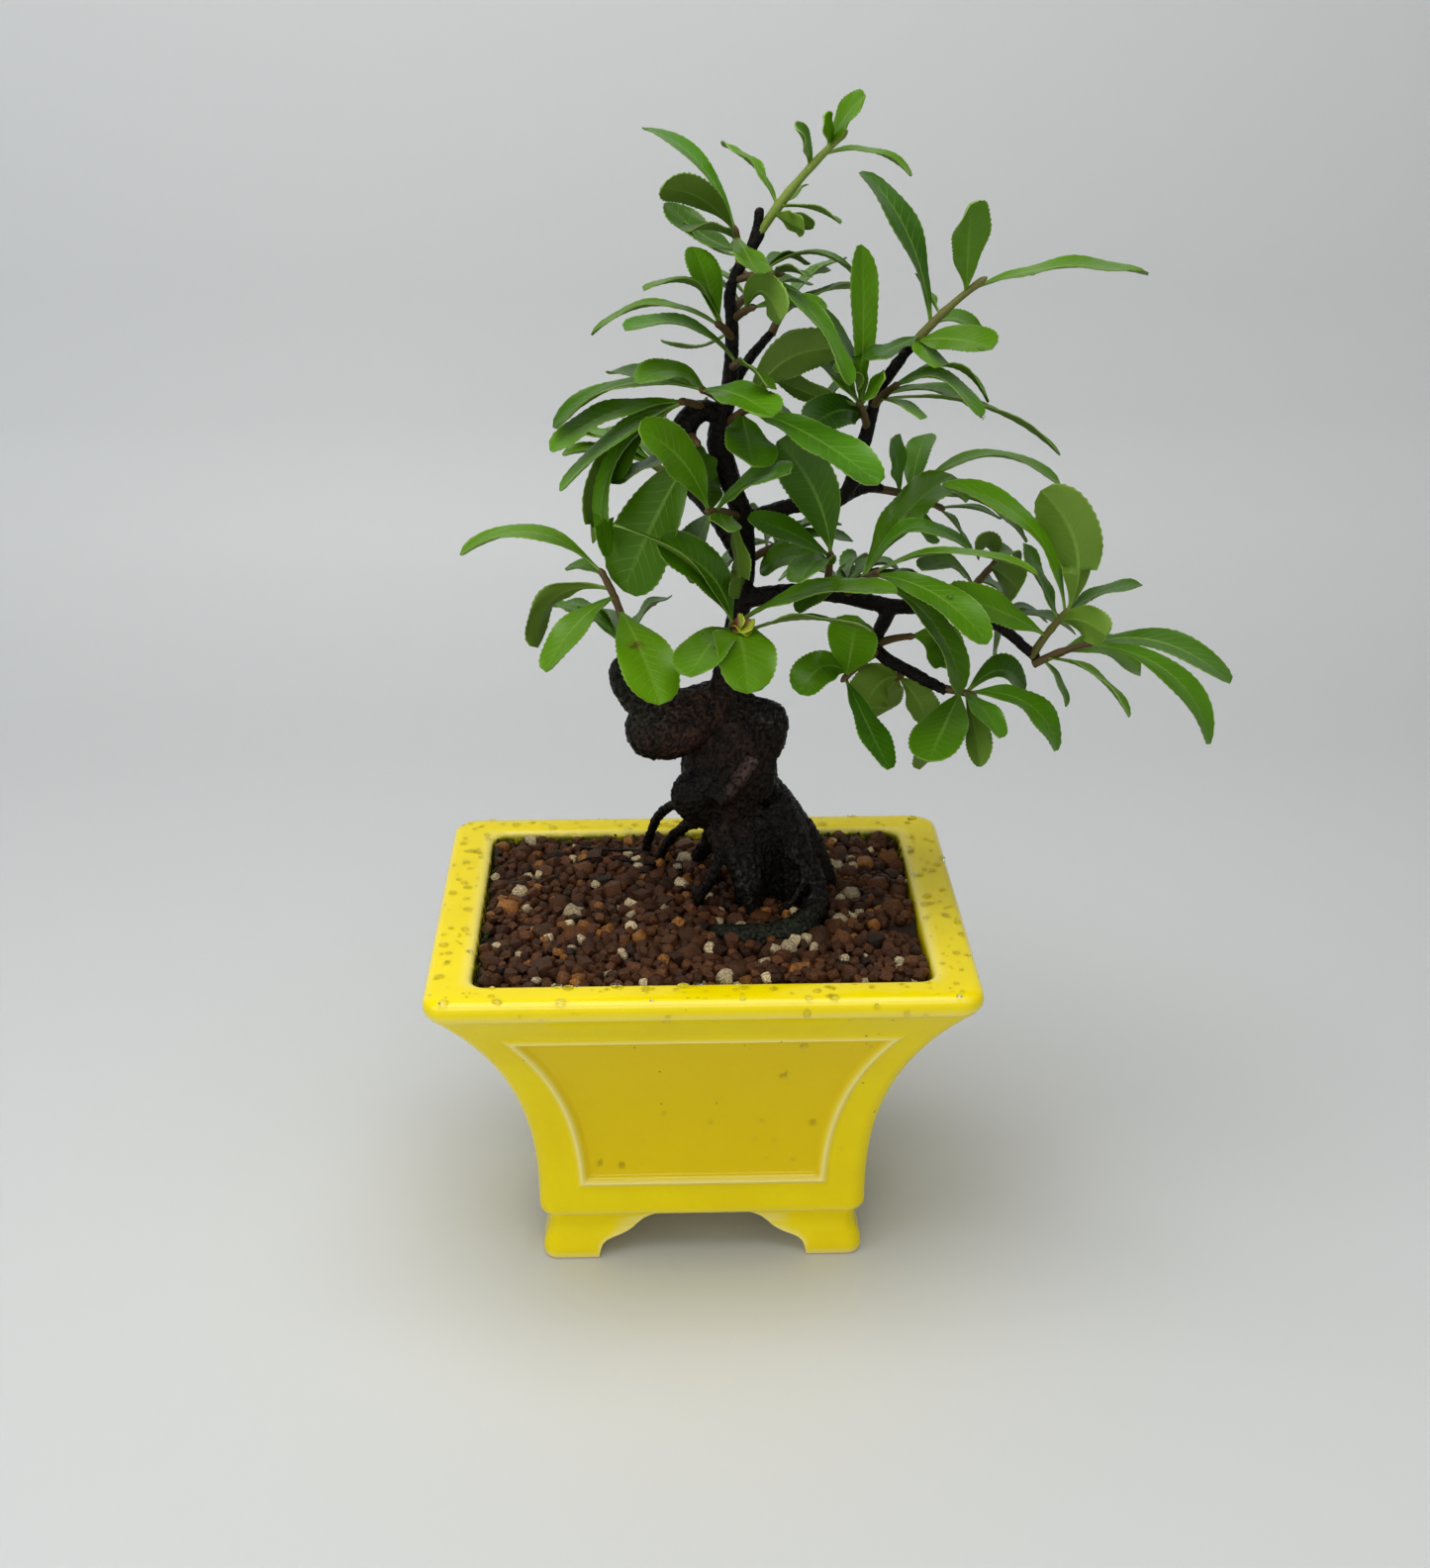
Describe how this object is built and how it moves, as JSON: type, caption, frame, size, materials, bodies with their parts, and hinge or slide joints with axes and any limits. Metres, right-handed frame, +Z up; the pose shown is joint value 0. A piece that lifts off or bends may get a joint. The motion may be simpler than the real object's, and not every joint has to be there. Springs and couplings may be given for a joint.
{
  "type": "firethorn bonsai",
  "caption": "Firethorn bonsai with exposed roots and leafy branches reaching to one side, in soil in a flared, glazed rectangular pot on bracket feet.",
  "frame": {"origin": "centre of the whole part's bounding box on the plane that the pot's feet stand on", "axes": "+Z up along the tree's height, +Y to the back of the pot, +X to the right, where the branches reach"},
  "size_m": [0.2037, 0.111, 0.3028],
  "materials": {
    "glaze": "bright lemon-yellow glaze, paler on the raised edges",
    "net": "black plastic net",
    "soil": "wet dark reddish-brown grains with a few pale and tan ones",
    "bark": "damp dark brown bark with reddish and grey patches",
    "leaf": "glossy leathery green leaf, paler below"
  },
  "bodies": {
    "root": {"pot": "glaze", "drain_screen_left": "net", "drain_screen_right": "net", "soil": "soil", "trunk_and_roots": "bark", "leader": "leaf", "crown": "leaf", "high_left": "leaf", "high_right": "leaf", "high_front": "leaf", "middle_left": "leaf", "left_rosette": "leaf", "left_hanging": "leaf", "front_middle": "leaf", "stub_leaves": "leaf", "left_middle": "leaf", "far_left": "leaf", "front": "leaf", "right_spur": "leaf", "upper_right": "leaf", "right_middle": "leaf", "centre": "leaf", "centre_right": "leaf", "behind": "leaf", "far_right_back": "leaf", "right_big": "leaf", "right_end": "leaf", "low_right": "leaf", "low_middle": "leaf", "low_back": "leaf", "low_top": "leaf", "back_low_left": "leaf", "back_left": "leaf", "back_knot": "leaf", "back_high": "leaf", "back_top": "leaf", "back_right": "leaf", "back_far_right": "leaf", "inner_high": "leaf", "inner_low": "leaf"}
  },
  "joints": []
}
